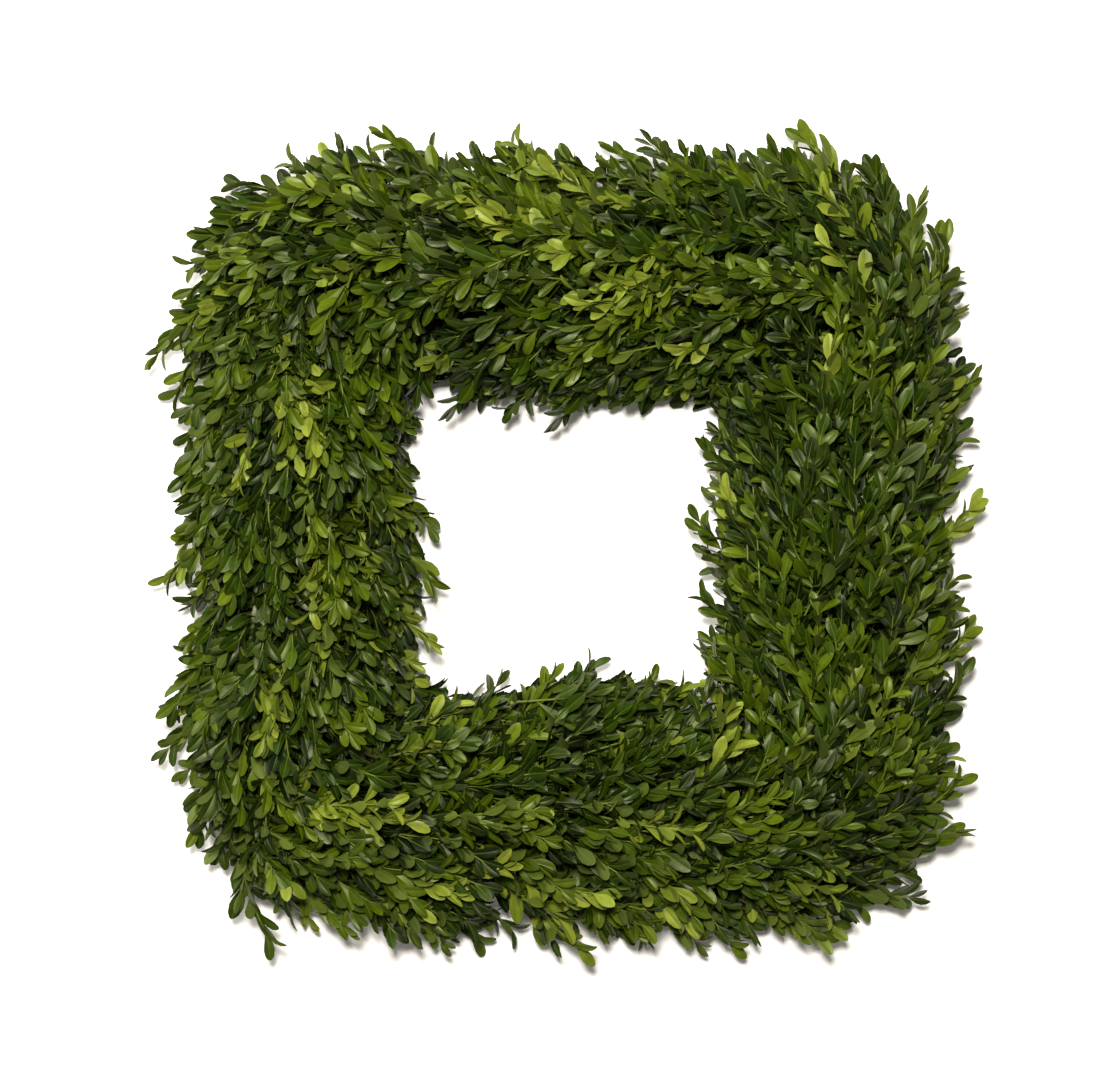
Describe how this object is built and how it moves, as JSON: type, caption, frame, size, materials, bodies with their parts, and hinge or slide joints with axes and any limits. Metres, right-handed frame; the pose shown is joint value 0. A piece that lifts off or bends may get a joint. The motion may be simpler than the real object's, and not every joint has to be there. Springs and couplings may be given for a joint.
{
  "type": "boxwood wreath",
  "caption": "Square wreath of boxwood sprigs wired in shingled bunches round an open wire frame, leaves running one way round, lying on its back.",
  "frame": {"origin": "on the surface that the wreath lies on, under the middle of its box", "axes": "+Z out of the wreath's face, +Y towards the top of the picture, +X towards its right side"},
  "size_m": [0.5518, 0.5242, 0.0894],
  "materials": {
    "frame_wire": "dull dark green enamel on steel wire",
    "binding_wire": "green florist's wire, semi-gloss",
    "foliage": "fresh boxwood leaves, semi-gloss on top, on woody yellow-green stems"
  },
  "bodies": {
    "root": {"wire_frame": "frame_wire", "binding_wire": "binding_wire", "outer_bunch_01": "foliage", "outer_bunch_02": "foliage", "outer_bunch_03": "foliage", "outer_bunch_04": "foliage", "outer_bunch_05": "foliage", "outer_bunch_06": "foliage", "outer_bunch_07": "foliage", "outer_bunch_08": "foliage", "outer_bunch_09": "foliage", "outer_bunch_10": "foliage", "outer_bunch_11": "foliage", "outer_bunch_12": "foliage", "outer_bunch_13": "foliage", "outer_bunch_14": "foliage", "middle_bunch_01": "foliage", "middle_bunch_02": "foliage", "middle_bunch_03": "foliage", "middle_bunch_04": "foliage", "middle_bunch_05": "foliage", "middle_bunch_06": "foliage", "middle_bunch_07": "foliage", "middle_bunch_08": "foliage", "middle_bunch_09": "foliage", "middle_bunch_10": "foliage", "middle_bunch_11": "foliage", "middle_bunch_12": "foliage", "middle_bunch_13": "foliage", "middle_bunch_14": "foliage", "inner_bunch_01": "foliage", "inner_bunch_02": "foliage", "inner_bunch_03": "foliage", "inner_bunch_04": "foliage", "inner_bunch_05": "foliage", "inner_bunch_06": "foliage", "inner_bunch_07": "foliage", "inner_bunch_08": "foliage", "inner_bunch_09": "foliage", "inner_bunch_10": "foliage", "inner_bunch_11": "foliage", "inner_bunch_12": "foliage", "inner_bunch_13": "foliage", "inner_bunch_14": "foliage"}
  },
  "joints": []
}
